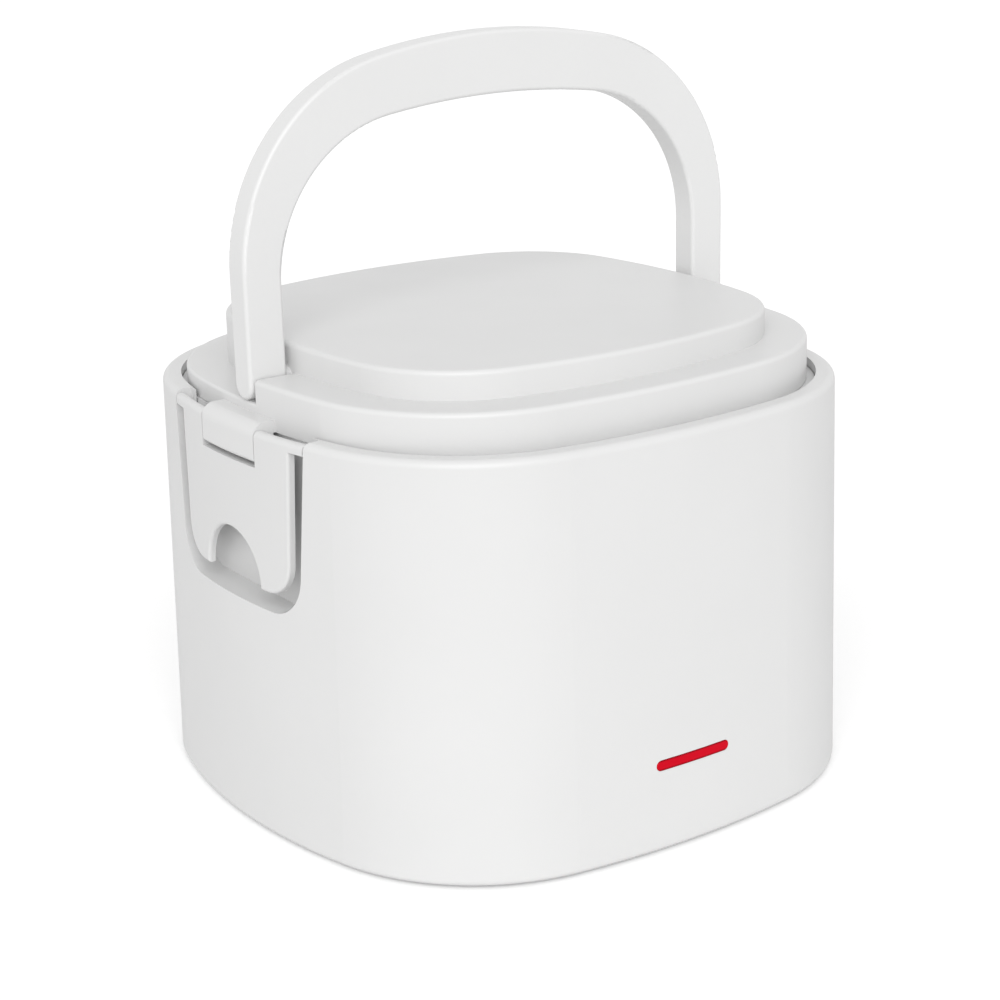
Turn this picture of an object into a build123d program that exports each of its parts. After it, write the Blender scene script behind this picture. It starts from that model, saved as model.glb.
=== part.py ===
from build123d import *
import os
from math import radians, sqrt, tan

os.makedirs("parts", exist_ok=True)

# A portable food warmer with a lift-off lid, a folding carry handle and two side latches.
# Millimetres. Z is up, the front faces -Y, and the rubber feet stand on Z = 0.

# Driving dimensions: outer housing
body_width = 170.0
body_depth = 170.0
front_bulge_radius = 237.0
side_bulge_radius = 168.0
body_corner_radius = 54.0
housing_height = 112.0
wall_flare_reach = 1.7
wall = 2.4
foot_stand = 0.8
rim_width = 5.1
rim_rounding = 2.0
foot_rounding = 1.6
shelf_reach = 8.6
shelf_thickness = 2.2
ledge_reach = 4.0
ledge_thickness = 2.0

# Driving dimensions: pockets for the latches
pocket_depth = 8.0
pocket_wall = 2.2
pocket_foot_gap = 4.8
pocket_top_gap = 0.7
pocket_bottom_gap = 4.0
pocket_corner = 12.0
catch_half = 12.0
catch_drop = 21.4
catch_height = 2.6
catch_reach = 4.2

# Driving dimensions: heating well and container
seat_drop = 2.4
collar_thickness = 2.2
collar_reach = 10.0
step_drop = 5.4
step_reach = 1.8
well_wall = 2.0
well_floor = 30.0
floor_thickness = 2.0
floor_hole_radius = 52.0
post_spacing = 84.0
post_radius = 4.6
pot_gap = 1.4
pot_wall = 0.8
pot_taper = 3.0
pot_corner = 8.0
pot_bead = 1.4
pot_bead_width = 1.3

# Driving dimensions: heater
plate_rim_radius = 57.0
plate_rim_thickness = 1.6
plate_boss_depth = 3.0
plate_seal_thickness = 0.6
plate_seal_width = 4.0
element_outer_radius = 41.0
element_inner_radius = 20.0
element_thickness = 4.0
clamp_thickness = 1.0
clamp_radius = 49.5
clamp_hole_radius = 10.2
clamp_screw_circle_radius = 46.0
thermostat_radius = 8.0
thermostat_depth = 12.0
thermostat_flange_radius = 14.0
thermostat_flange_thickness = 1.0
thermostat_screw_circle_radius = 12.2
thermostat_screw_length = 3.0
fuse_radius = 2.2
fuse_length = 13.0
fuse_place = 31.0
shield_radius = 50.0
shield_thickness = 0.8
shield_height = 11.0
shield_post_circle_radius = 42.0

# Driving dimensions: base plate, feet and screws
base_thickness = 2.0
base_boss_height = 2.6
base_boss_radius = 6.2
rubber_foot_radius = 7.0
rubber_foot_height = 2.0
rubber_foot_inset = 28.0
foot_boss_wall = 1.2
screw_radius = 1.5
screw_head_radius = 2.9
screw_head_height = 2.0
base_screw_length = 14.4
small_screw_radius = 1.1
small_screw_head_radius = 2.1
small_screw_head_height = 1.3

# Driving dimensions: power inlet and indicator
inlet_height = 19.5
inlet_flange_width = 44.0
inlet_flange_height = 20.0
inlet_flange_thickness = 2.2
inlet_pad_depth = 3.4
inlet_body_width = 24.0
inlet_body_height = 14.0
inlet_body_depth = 20.0
inlet_socket_width = 19.0
inlet_socket_height = 9.0
inlet_socket_depth = 15.0
inlet_screw_spacing = 34.0
inlet_screw_length = 8.0
inlet_boss_depth = 6.0
pin_spacing = 8.6
pin_radius = 1.2
tab_width = 4.8
tab_thickness = 0.8
tab_length = 8.0
lamp_length = 24.2
lamp_height = 3.0
lamp_rise = 24.1
lamp_flange = 2.4
lamp_flange_thickness = 1.2
board_width = 46.0
board_height = 11.0
board_thickness = 1.6
board_set_back = 6.4
board_screw_spacing = 38.0
board_screw_length = 5.0
led_spacing = 9.0
led_size = 3.0
led_height = 1.9
wire_radius = 0.9
wire_lead = 6.0
wire_step = 1.0
inlet_wire_side = 8.0
inlet_wire_back = 14.0
fuse_lead = 5.0
fuse_wire_side = 13.0
link_wire_back = 9.0
link_wire_drop = 3.0
link_wire_side = 15.0
link_wire_reach = 21.0
blade_lead = 4.0
return_wire_side = 11.0
return_wire_back = 15.0
return_wire_sway = 2.0
return_wire_reach = 18.0
lamp_wire_lead = 12.0
lamp_wire_sway = 4.0
lamp_wire_reach = 27.0
lamp_wire_turn = 22.0
lamp_wire_rise = 2.0
board_wire_lead = 9.0

# Driving dimensions: lid
lid_wall = 2.2
lower_tier_side_inset = 6.8
lower_tier_end_inset = 8.8
lower_tier_end_radius = 244.0
lower_tier_side_radius = 210.0
lower_tier_corner = 49.5
high_ledge_rise = 9.7
low_ledge_rise = 3.4
upper_tier_side_inset = 12.0
upper_tier_end_inset = 11.0
upper_tier_end_radius = 165.6
upper_tier_side_radius = 197.8
upper_tier_corner = 35.2
upper_tier_rise = 17.3
tier_rounding = 1.3
low_ledge_rounding = 0.8
liner_inset = 11.6
liner_thickness = 1.8
liner_ring_width = 4.0
liner_ring_drop = 1.2
groove_wall = 0.8
groove_depth = 1.6
lid_screw_inset = 43.0
lid_screw_length = 9.0
lid_boss_radius = 4.4
liner_boss_rise = 3.0
foam_gap = 1.0
liner_gap = 0.2

# Driving dimensions: inner lid of the container
inner_lid_thickness = 1.4
dish_depth = 6.4
dish_wall = 2.0
dish_floor = 1.4
dish_gap = 1.3
pot_seal_height = 2.0
pot_seal_bite = 0.8
grip_length = 38.0
grip_width = 7.0
valve_radius = 4.0
valve_place = 34.0

# Driving dimensions: carry handle
handle_leg_gap = 1.9
handle_leg_width = 11.1
handle_rise = 92.0
handle_corner = 53.1
handle_top_radius = 183.5
hand_gap_rise = 75.3
hand_gap_corner = 40.6
hand_gap_top_radius = 232.0
handle_thickness = 8.2
handle_rounding = 1.0
handle_step_gap = 0.6
handle_pivot_rise = 7.9
handle_pin_radius = 2.5
handle_pin_bite = 8.0
handle_bore_spare = 0.6
handle_pin_head_radius = 4.2
handle_pin_head = 2.0
pin_boss_radius = 5.0
pin_boss_length = 6.0
spacer_radius = 3.4

# Driving dimensions: latches
lug_half = 13.5
lug_drop = 9.1
lug_rise = 1.0
lug_inset = 6.6
lug_top_rounding = 3.6
lug_foot_rounding = 1.0
latch_gap = 0.4
latch_slot = 1.2
latch_thickness = 2.0
latch_top_drop = 0.8
latch_height = 43.1
latch_top_half = 28.0
latch_ear_half = 24.0
latch_bottom_half = 26.2
latch_wing_half = 33.2
latch_wing_drop = 3.4
latch_corner = 9.5
latch_pivot_inset = 3.4
latch_pivot_drop = 4.2
latch_pin_radius = 1.25
latch_pin_half = 20.0
latch_ear_radius = 2.7
latch_ear_straight = 7.5
latch_ear_drop = 11.4
latch_top_rounding = 1.5
latch_edge_rounding = 0.8
arch_radius = 13.8
hook_gap = 0.25
hook_height = 2.8
hook_reach = 3.2
hook_half = 10.0

# Clearances
fit_gap = 0.3
rest_gap = 0.2
soft_gap = 0.3
running_gap = 0.08
thread_gap = 0.05
slide_gap = 0.1

# Levels and places that follow from the driving dimensions
rim_z = foot_stand + housing_height
seat_z = rim_z - seat_drop
shelf_z = seat_z - collar_thickness
step_z = rim_z - step_drop
collar_inset = rim_width + fit_gap
step_inset = collar_inset + collar_reach
well_inset = step_inset + step_reach
pot_inset = well_inset + pot_gap
pot_rim_z = step_z + rest_gap
plate_z = well_floor + plate_seal_thickness + plate_rim_thickness
boss_z = plate_z - plate_rim_thickness - plate_boss_depth
element_z = boss_z - element_thickness
clamp_z = element_z - clamp_thickness
pot_z = plate_z + rest_gap
ledge_z = foot_stand + base_thickness
post_z = ledge_z + base_boss_height
pocket_x = body_width / 2 - pocket_depth
pocket_height = latch_height + pocket_foot_gap
pocket_top_half = latch_wing_half + pocket_top_gap
pocket_bottom_half = latch_bottom_half + pocket_bottom_gap
pocket_z = rim_z - pocket_height
pivot_z = rim_z + handle_pivot_rise
lamp_z = foot_stand + lamp_rise
lid_top_z = rim_z + upper_tier_rise
lid_foot_z = seat_z + rest_gap
liner_z = rim_z + low_ledge_rise - lid_wall - liner_gap - liner_thickness
inner_lid_z = pot_rim_z + pot_bead + rest_gap
lower_tier_width = body_width - 2 * lower_tier_side_inset
lower_tier_depth = body_depth - 2 * lower_tier_end_inset
upper_tier_width = lower_tier_width - 2 * upper_tier_side_inset
upper_tier_depth = lower_tier_depth - 2 * upper_tier_end_inset
handle_leg_x = upper_tier_width / 2 + handle_leg_gap
handle_half = handle_leg_x + handle_leg_width


def bulged_square(width, depth, end_radius, side_radius, corner_radius, inset=0.0):
    """Four bulged sides and four round corners, each arc tangent to the next."""
    half_width, half_depth = width / 2 - inset, depth / 2 - inset
    end_radius, side_radius, corner_radius = end_radius - inset, side_radius - inset, corner_radius - inset
    end_centre = Vector(0, half_depth - end_radius)
    side_centre = Vector(half_width - side_radius, 0)
    to_end, to_side = end_radius - corner_radius, side_radius - corner_radius
    between = side_centre - end_centre
    along = (to_end**2 - to_side**2 + between.length**2) / (2 * between.length)
    across = sqrt(to_end**2 - along**2)
    unit = between.normalized()
    corner = end_centre + unit * along + Vector(unit.Y, -unit.X) * across
    end_join = end_centre + (corner - end_centre).normalized() * end_radius
    side_join = side_centre + (corner - side_centre).normalized() * side_radius
    tip = corner + (end_join + side_join - corner * 2).normalized() * corner_radius
    with BuildSketch() as outline:
        with BuildLine():
            for side in (1, -1):
                ThreePointArc(
                    (-end_join.X, side * end_join.Y),
                    (0, side * half_depth),
                    (end_join.X, side * end_join.Y),
                )
                ThreePointArc(
                    (side * side_join.X, -side_join.Y),
                    (side * half_width, 0),
                    (side * side_join.X, side_join.Y),
                )
                for end in (1, -1):
                    ThreePointArc(
                        (side * end_join.X, end * end_join.Y),
                        (side * tip.X, end * tip.Y),
                        (side * side_join.X, end * side_join.Y),
                    )
        make_face()
    return outline.sketch


def body_outline(inset=0.0):
    """The housing's rim outline, moved in by inset."""
    return bulged_square(
        body_width, body_depth, front_bulge_radius, side_bulge_radius, body_corner_radius, inset
    )


def wall_outline(inset, z):
    """The same outline where the flared outer wall stands at height z."""
    return body_outline(inset - wall_flare_reach * (rim_z - z) / housing_height)


def lower_tier_outline(inset=0.0):
    return bulged_square(
        lower_tier_width,
        lower_tier_depth,
        lower_tier_end_radius,
        lower_tier_side_radius,
        lower_tier_corner,
        inset,
    )


def upper_tier_outline(inset=0.0):
    return bulged_square(
        upper_tier_width,
        upper_tier_depth,
        upper_tier_end_radius,
        upper_tier_side_radius,
        upper_tier_corner,
        inset,
    )


def prism(outline, bottom, top):
    """An outline drawn on the floor plane, raised from bottom to top."""
    with BuildPart() as block:
        with BuildSketch(Plane.XY.offset(bottom)):
            add(outline)
        extrude(amount=top - bottom)
    return block.part


def flared_block(inset, bottom, top):
    """What lies inside the flared wall, moved in by inset."""
    with BuildPart() as block:
        with BuildSketch(Plane.XY.offset(bottom)):
            add(wall_outline(inset, bottom))
        with BuildSketch(Plane.XY.offset(top)):
            add(wall_outline(inset, top))
        loft(ruled=True)
    return block.part


def bulge_block(inset, bottom, top):
    """The right side's flared bulge alone, moved in by inset and run on past the corners."""
    with BuildPart() as block:
        for z in (bottom, top):
            flare = wall_flare_reach * (rim_z - z) / housing_height
            with BuildSketch(Plane.XY.offset(z)):
                with Locations((body_width / 2 - side_bulge_radius, 0)):
                    Circle(side_bulge_radius - inset + flare)
        loft(ruled=True)
    return block.part


def square_places(spacing):
    """The four corners of a square round the middle."""
    return GridLocations(spacing, spacing, 2, 2)


def corner_places(inset):
    """One place near each corner of the body, as far in from its sides as from its ends."""
    return GridLocations(body_width - 2 * inset, body_depth - 2 * inset, 2, 2)


def pair_places(spacing, height):
    """Two places side by side on a vertical plane, spaced evenly about the middle."""
    return Locations((-spacing / 2, height), (spacing / 2, height))


def screw(radius, head_radius, head_height, length):
    """A pan-head screw: its seat at the origin, its shank along +Z and its head below."""
    with BuildPart() as fastener:
        with BuildSketch(Plane.XZ):
            with BuildLine():
                Polyline(
                    (0, -head_height),
                    (head_radius - 0.5, -head_height),
                    (head_radius, -head_height + 0.6),
                    (head_radius, 0),
                    (radius, 0),
                    (radius, length - radius),
                    (0, length),
                    close=True,
                )
            make_face()
        revolve(axis=Axis.Z)
        with BuildSketch(Plane.XY.offset(-head_height)):
            Rectangle(head_radius * 1.2, head_radius * 0.3)
            Rectangle(head_radius * 0.3, head_radius * 1.2)
        extrude(amount=head_height / 2, mode=Mode.SUBTRACT)
    return fastener.part


def large_screw(length):
    return screw(screw_radius, screw_head_radius, screw_head_height, length)


def small_screw(length):
    return screw(small_screw_radius, small_screw_head_radius, small_screw_head_height, length)


def export(builder, label):
    """Name a finished piece and write its STEP file."""
    builder.part.label = label
    export_step(builder.part, f"parts/{label}.step")


def pocket_outline(grow=0.0):
    """Side view of the pocket, Y across and Z up, open past the rim."""
    slope = (pocket_top_half - pocket_bottom_half) / pocket_height
    reach = shelf_thickness
    with BuildSketch() as outline:
        with BuildLine():
            Polyline(
                (pocket_top_half + slope * reach + grow, rim_z + reach),
                (pocket_bottom_half + grow, pocket_z - grow),
                (-pocket_bottom_half - grow, pocket_z - grow),
                (-pocket_top_half - slope * reach - grow, rim_z + reach),
                close=True,
            )
        make_face()
        fillet(outline.vertices().group_by(Axis.Y)[0], radius=pocket_corner + grow)
    return outline.sketch


def pocket_block(depth_x, grow):
    """A block of the pocket's shape, from depth_x out past the wall, on the right side."""
    with BuildPart() as block:
        with BuildSketch(Plane.YZ.offset(depth_x)):
            add(pocket_outline(grow))
        extrude(amount=body_width / 2)
    return block.part


# Outer housing: a flared shell with a wide rim, a shelf for the well's collar and a pocket on each side
pocket_shell = pocket_block(pocket_x - pocket_wall, pocket_wall)
pocket_space = pocket_block(pocket_x, 0)

with BuildPart() as hollow:
    add(flared_block(wall, ledge_z, shelf_z - shelf_thickness))
    add(flared_block(wall, foot_stand, ledge_z))
    add(pocket_shell, mode=Mode.SUBTRACT)
    add(mirror(pocket_shell, about=Plane.YZ, mode=Mode.PRIVATE), mode=Mode.SUBTRACT)

with BuildPart() as ledge_ring:
    add(flared_block(wall, ledge_z, ledge_z + ledge_thickness))
    add(flared_block(wall + ledge_reach, ledge_z, ledge_z + ledge_thickness), mode=Mode.SUBTRACT)

inlet_flare = wall_flare_reach * (rim_z - inlet_height) / housing_height
inlet_face_y = body_depth / 2 + inlet_flare - inlet_flange_thickness
inlet_pad_y = inlet_face_y - inlet_pad_depth
inlet_body_end_y = inlet_face_y - inlet_body_depth
inlet_screw_seat_y = inlet_face_y + inlet_flange_thickness - small_screw_head_height
inlet_outer_y = body_depth / 2 + wall_flare_reach
lamp_wall_y = -body_depth / 2 - wall_flare_reach * (rim_z - lamp_z) / housing_height + wall
board_front_y = lamp_wall_y + board_set_back

with BuildPart() as outer_housing:
    with BuildSketch(Plane.XY.offset(foot_stand)):
        add(wall_outline(0, foot_stand))
    with BuildSketch(Plane.XY.offset(rim_z)):
        add(body_outline())
    loft(ruled=True)
    fillet(outer_housing.edges().group_by(Axis.Z)[0], radius=foot_rounding)
    fillet(outer_housing.edges().group_by(Axis.Z)[-1], radius=rim_rounding)
    add(hollow.part, mode=Mode.SUBTRACT)
    add(prism(body_outline(shelf_reach), shelf_z - shelf_thickness, shelf_z), mode=Mode.SUBTRACT)
    add(prism(body_outline(rim_width), shelf_z, rim_z), mode=Mode.SUBTRACT)
    add(ledge_ring.part)
    add(pocket_space, mode=Mode.SUBTRACT)
    add(mirror(pocket_space, about=Plane.YZ, mode=Mode.PRIVATE), mode=Mode.SUBTRACT)
    # Catch ribs in the pockets, with a ramp on top for the hooks to ride over
    for side in (1, -1):
        with BuildSketch(Plane.XZ):
            with BuildLine():
                Polyline(
                    (side * (pocket_x - pocket_wall / 2), rim_z - catch_drop),
                    (side * pocket_x, rim_z - catch_drop),
                    (side * (pocket_x + catch_reach), rim_z - catch_drop - catch_height / 2),
                    (side * (pocket_x + catch_reach), rim_z - catch_drop - catch_height),
                    (side * (pocket_x - pocket_wall / 2), rim_z - catch_drop - catch_height),
                    close=True,
                )
            make_face()
        extrude(amount=catch_half, both=True)
    # Flat pad, recess and openings for the power inlet
    with BuildSketch(Plane.XZ.offset(-inlet_pad_y)):
        with Locations((0, inlet_height)):
            RectangleRounded(inlet_flange_width + wall, inlet_flange_height + wall, 3)
    extrude(amount=-inlet_pad_depth)
    with BuildSketch(Plane.XZ.offset(-inlet_pad_y)):
        with pair_places(inlet_screw_spacing, inlet_height):
            Circle(small_screw_radius * 2.4)
    extrude(amount=inlet_boss_depth)
    with BuildSketch(Plane.XZ.offset(-inlet_face_y)):
        with Locations((0, inlet_height)):
            RectangleRounded(inlet_flange_width + fit_gap, inlet_flange_height + fit_gap, 3)
    extrude(amount=-body_depth / 4, mode=Mode.SUBTRACT)
    with BuildSketch(Plane.XZ.offset(-inlet_face_y)):
        with Locations((0, inlet_height)):
            RectangleRounded(inlet_body_width + fit_gap, inlet_body_height + fit_gap, 3)
    extrude(amount=inlet_pad_depth + wall, mode=Mode.SUBTRACT)
    with BuildSketch(Plane.XZ.offset(-inlet_face_y)):
        with pair_places(inlet_screw_spacing, inlet_height):
            Circle(small_screw_radius + thread_gap)
    extrude(amount=inlet_pad_depth + inlet_boss_depth, mode=Mode.SUBTRACT)
    # Posts for the indicator board, then the slot for its lens
    with BuildSketch(Plane.XZ.offset(-board_front_y)):
        with pair_places(board_screw_spacing, lamp_z):
            Circle(small_screw_radius * 2.3)
            Circle(small_screw_radius + thread_gap, mode=Mode.SUBTRACT)
    extrude(amount=board_set_back + wall / 2)
    with BuildSketch(Plane.XZ.offset(body_depth / 2 - wall * 2)):
        with Locations((0, lamp_z)):
            SlotOverall(lamp_length, lamp_height)
    extrude(amount=wall * 4, mode=Mode.SUBTRACT)
export(outer_housing, "outer_housing")


# Heating well: the collar hangs on the housing's shelf, and four posts take the base screws
pocket_notch = pocket_block(pocket_x - fit_gap, fit_gap)

with BuildPart() as heating_well:
    add(prism(body_outline(collar_inset), shelf_z, seat_z))
    add(prism(body_outline(step_inset - well_wall), step_z - well_wall, seat_z))
    add(prism(body_outline(well_inset - well_wall), well_floor - floor_thickness, step_z))
    add(prism(body_outline(step_inset), step_z, seat_z), mode=Mode.SUBTRACT)
    add(prism(body_outline(well_inset), well_floor, step_z), mode=Mode.SUBTRACT)
    with BuildSketch(Plane.XY.offset(well_floor)):
        Circle(floor_hole_radius)
    extrude(amount=-floor_thickness, mode=Mode.SUBTRACT)
    with BuildSketch(Plane.XY.offset(well_floor - floor_thickness)):
        with square_places(post_spacing):
            Circle(post_radius)
            Circle(screw_radius + thread_gap, mode=Mode.SUBTRACT)
    extrude(amount=post_z - well_floor + floor_thickness)
    add(pocket_notch, mode=Mode.SUBTRACT)
    add(mirror(pocket_notch, about=Plane.YZ, mode=Mode.PRIVATE), mode=Mode.SUBTRACT)
export(heating_well, "heating_well")


# Food container: a drawn steel pot with a rolled rim that rests on the well's step
with BuildPart() as pot_hollow:
    with BuildSketch(Plane.XY.offset(pot_z + pot_wall)):
        add(body_outline(pot_inset + pot_taper + pot_wall))
    with BuildSketch(Plane.XY.offset(pot_rim_z + pot_wall)):
        add(body_outline(pot_inset + pot_wall))
    loft(ruled=True)
    fillet(pot_hollow.edges().group_by(Axis.Z)[0], radius=pot_corner - pot_wall)

with BuildPart() as food_container:
    with BuildSketch(Plane.XY.offset(pot_z)):
        add(body_outline(pot_inset + pot_taper))
    with BuildSketch(Plane.XY.offset(pot_rim_z + pot_wall)):
        add(body_outline(pot_inset))
    loft(ruled=True)
    fillet(food_container.edges().group_by(Axis.Z)[0], radius=pot_corner)
    add(prism(body_outline(step_inset + fit_gap), pot_rim_z, pot_rim_z + pot_wall))
    add(pot_hollow.part, mode=Mode.SUBTRACT)
    rim_outline = body_outline(step_inset + fit_gap) - body_outline(step_inset + fit_gap + pot_bead_width)
    add(prism(rim_outline, pot_rim_z + pot_wall, pot_rim_z + pot_bead))
    fillet(food_container.faces().sort_by(Axis.Z)[-1].outer_wire().edges(), radius=pot_bead / 3)
export(food_container, "food_container")


# Inner lid: a dished plate that plugs the container, with a grip bar, a seal and a steam valve
dish_inset = pot_inset + pot_wall + dish_gap
dish_z = inner_lid_z - dish_depth
pot_seal_z = inner_lid_z - dish_depth / 2 - pot_seal_height / 2

with BuildPart() as container_lid:
    add(prism(body_outline(step_inset + fit_gap), inner_lid_z, inner_lid_z + inner_lid_thickness))
    fillet(container_lid.edges().group_by(Axis.Z)[-1], radius=inner_lid_thickness / 3)
    add(prism(body_outline(dish_inset), dish_z, inner_lid_z))
    add(
        prism(body_outline(dish_inset + dish_wall), dish_z + dish_floor, inner_lid_z + inner_lid_thickness),
        mode=Mode.SUBTRACT,
    )
    with BuildSketch(Plane.XY.offset(dish_z)):
        RectangleRounded(grip_length, grip_width, grip_width / 2.2)
    extrude(amount=inner_lid_z + inner_lid_thickness - dish_z)
    add(
        prism(
            body_outline(dish_inset) - body_outline(dish_inset + pot_seal_bite),
            pot_seal_z,
            pot_seal_z + pot_seal_height,
        ),
        mode=Mode.SUBTRACT,
    )
    with BuildSketch(Plane.XY.offset(dish_z)):
        with Locations((0, valve_place)):
            Circle(valve_radius + thread_gap)
    extrude(amount=dish_floor, mode=Mode.SUBTRACT)
export(container_lid, "container_lid")

with BuildPart() as container_seal:
    seal_outer = body_outline(pot_inset + pot_wall + soft_gap)
    seal_inner = body_outline(dish_inset + pot_seal_bite - thread_gap)
    add(
        prism(
            seal_outer - seal_inner,
            pot_seal_z + thread_gap,
            pot_seal_z + pot_seal_height - thread_gap,
        )
    )
export(container_seal, "container_seal")

with BuildPart() as steam_valve:
    with BuildSketch(Plane.XY.offset(dish_z)):
        with Locations((0, valve_place)):
            Circle(valve_radius)
    extrude(amount=dish_floor)
    with BuildSketch(Plane.XY.offset(dish_z + dish_floor)):
        with Locations((0, valve_place)):
            Circle(valve_radius * 1.6)
    extrude(amount=dish_floor)
    fillet(steam_valve.edges().group_by(Axis.Z)[-1], radius=dish_floor / 2)
    with BuildSketch(Plane.XY.offset(dish_z + dish_floor * 2)):
        with Locations((0, valve_place)):
            Rectangle(valve_radius, slide_gap * 4)
    extrude(amount=-dish_floor * 1.5, mode=Mode.SUBTRACT)
export(steam_valve, "steam_valve")


# Heater: plate, seal, element, clamp and screws under the well's floor
def clamp_places():
    return PolarLocations(clamp_screw_circle_radius, 4, start_angle=45)


def thermostat_places():
    return PolarLocations(thermostat_screw_circle_radius, 2, start_angle=90)


def terminal_places():
    return Locations((-terminal_x, terminal_y), (terminal_x, terminal_y))


terminal_x = (element_inner_radius + element_outer_radius) / 2 - 2.5
terminal_y = -element_inner_radius * 0.7
terminal_z = clamp_z - tab_length * 0.8
clamp_screw_bite = plate_boss_depth * 1.2
clamp_screw_length = element_thickness + clamp_thickness + clamp_screw_bite

with BuildPart() as heating_plate:
    with BuildSketch(Plane.XY.offset(boss_z)):
        Circle(floor_hole_radius - fit_gap)
    extrude(amount=plate_boss_depth)
    with BuildSketch(Plane.XY.offset(boss_z + plate_boss_depth)):
        Circle(plate_rim_radius)
    extrude(amount=plate_rim_thickness)
    fillet(heating_plate.edges().group_by(Axis.Z)[-1], radius=plate_rim_thickness / 2)
    with BuildSketch(Plane.XY.offset(boss_z)):
        with clamp_places():
            Circle(screw_radius + thread_gap)
    extrude(amount=clamp_screw_bite + thread_gap, mode=Mode.SUBTRACT)
export(heating_plate, "heating_plate")

with BuildPart() as plate_seal:
    with BuildSketch(Plane.XY.offset(well_floor)):
        Circle(plate_rim_radius - thread_gap * 4)
        Circle(plate_rim_radius - plate_seal_width, mode=Mode.SUBTRACT)
    extrude(amount=plate_seal_thickness)
export(plate_seal, "plate_seal")

with BuildPart() as heating_element:
    with BuildSketch(Plane.XY.offset(element_z)):
        Circle(element_outer_radius)
        Circle(element_inner_radius, mode=Mode.SUBTRACT)
    extrude(amount=element_thickness)
    with BuildSketch(Plane.XY.offset(terminal_z)):
        with terminal_places():
            Rectangle(tab_width, tab_thickness)
    extrude(amount=element_z - terminal_z)
export(heating_element, "heating_element")

with BuildPart() as element_clamp:
    with BuildSketch(Plane.XY.offset(clamp_z)):
        Circle(clamp_radius)
        Circle(clamp_hole_radius, mode=Mode.SUBTRACT)
        with clamp_places():
            Circle(screw_radius + slide_gap, mode=Mode.SUBTRACT)
        with thermostat_places():
            Circle(small_screw_radius + thread_gap, mode=Mode.SUBTRACT)
        with terminal_places():
            Rectangle(tab_width * 1.6, tab_thickness * 5, mode=Mode.SUBTRACT)
    extrude(amount=clamp_thickness)
export(element_clamp, "element_clamp")

with BuildPart() as clamp_screws:
    with Locations(Plane.XY.offset(clamp_z)):
        with clamp_places():
            add(large_screw(clamp_screw_length))
    with Locations(Plane.XY.offset(clamp_z - thermostat_flange_thickness)):
        with thermostat_places():
            add(small_screw(thermostat_screw_length))
export(clamp_screws, "clamp_screws")

with BuildPart() as thermostat:
    with BuildSketch(Plane.XY.offset(boss_z)):
        Circle(thermostat_radius)
    extrude(amount=-thermostat_depth)
    with BuildSketch(Plane.XY.offset(clamp_z)):
        Circle(thermostat_flange_radius)
        with thermostat_places():
            Circle(small_screw_radius + slide_gap, mode=Mode.SUBTRACT)
    extrude(amount=-thermostat_flange_thickness)
    with BuildSketch(Plane.XY.offset(boss_z - thermostat_depth)):
        Rectangle(2 * thermostat_radius + tab_length, tab_width)
    extrude(amount=tab_thickness)
export(thermostat, "thermostat")

fuse_z = clamp_z - fuse_radius - thread_gap

with BuildPart() as thermal_fuse:
    with BuildSketch(Plane.YZ.offset(-fuse_length / 2)):
        with Locations((fuse_place, fuse_z)):
            Circle(fuse_radius)
    extrude(amount=fuse_length)
    fillet(thermal_fuse.edges(), radius=fuse_radius / 3)
export(thermal_fuse, "thermal_fuse")


# Base plate with recesses for the feet, bosses for the screws and posts for the heat shield
def shield_places():
    return PolarLocations(shield_post_circle_radius, 4, start_angle=0)


with BuildPart() as base_plate:
    add(prism(wall_outline(wall + fit_gap, ledge_z), foot_stand, ledge_z))
    with BuildSketch(Plane.XY.offset(ledge_z)):
        with square_places(post_spacing):
            Circle(base_boss_radius)
        with corner_places(rubber_foot_inset):
            Circle(rubber_foot_radius + foot_boss_wall)
    extrude(amount=base_boss_height - fit_gap)
    with BuildSketch(Plane.XY.offset(ledge_z)):
        with shield_places():
            Circle(post_radius)
    extrude(amount=shield_height - ledge_z)
    with BuildSketch(Plane.XY.offset(shield_height)):
        with shield_places():
            Circle(post_radius / 2)
    extrude(amount=shield_thickness * 2)
    with BuildSketch(Plane.XY.offset(foot_stand)):
        with corner_places(rubber_foot_inset):
            Circle(rubber_foot_radius + slide_gap)
    extrude(amount=rubber_foot_height - foot_stand, mode=Mode.SUBTRACT)
    with BuildSketch(Plane.XY.offset(foot_stand)):
        with square_places(post_spacing):
            Circle(screw_head_radius + fit_gap)
    extrude(amount=screw_head_height + fit_gap, mode=Mode.SUBTRACT)
    with BuildSketch(Plane.XY.offset(foot_stand)):
        with square_places(post_spacing):
            Circle(screw_radius + slide_gap)
    extrude(amount=post_z, mode=Mode.SUBTRACT)
export(base_plate, "base_plate")

base_screw_z = foot_stand + screw_head_height + fit_gap

with BuildPart() as base_screws:
    with Locations(Plane.XY.offset(base_screw_z)):
        with square_places(post_spacing):
            add(large_screw(base_screw_length))
export(base_screws, "base_screws")

with BuildPart() as rubber_feet:
    with BuildSketch():
        with corner_places(rubber_foot_inset):
            Circle(rubber_foot_radius)
    extrude(amount=rubber_foot_height)
    fillet(rubber_feet.edges().group_by(Axis.Z)[0], radius=foot_stand / 2)
export(rubber_feet, "rubber_feet")

with BuildPart() as heat_shield:
    with BuildSketch(Plane.XY.offset(shield_height)):
        Circle(shield_radius)
        with shield_places():
            Circle(post_radius / 2 + slide_gap, mode=Mode.SUBTRACT)
    extrude(amount=shield_thickness)
export(heat_shield, "heat_shield")


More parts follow.
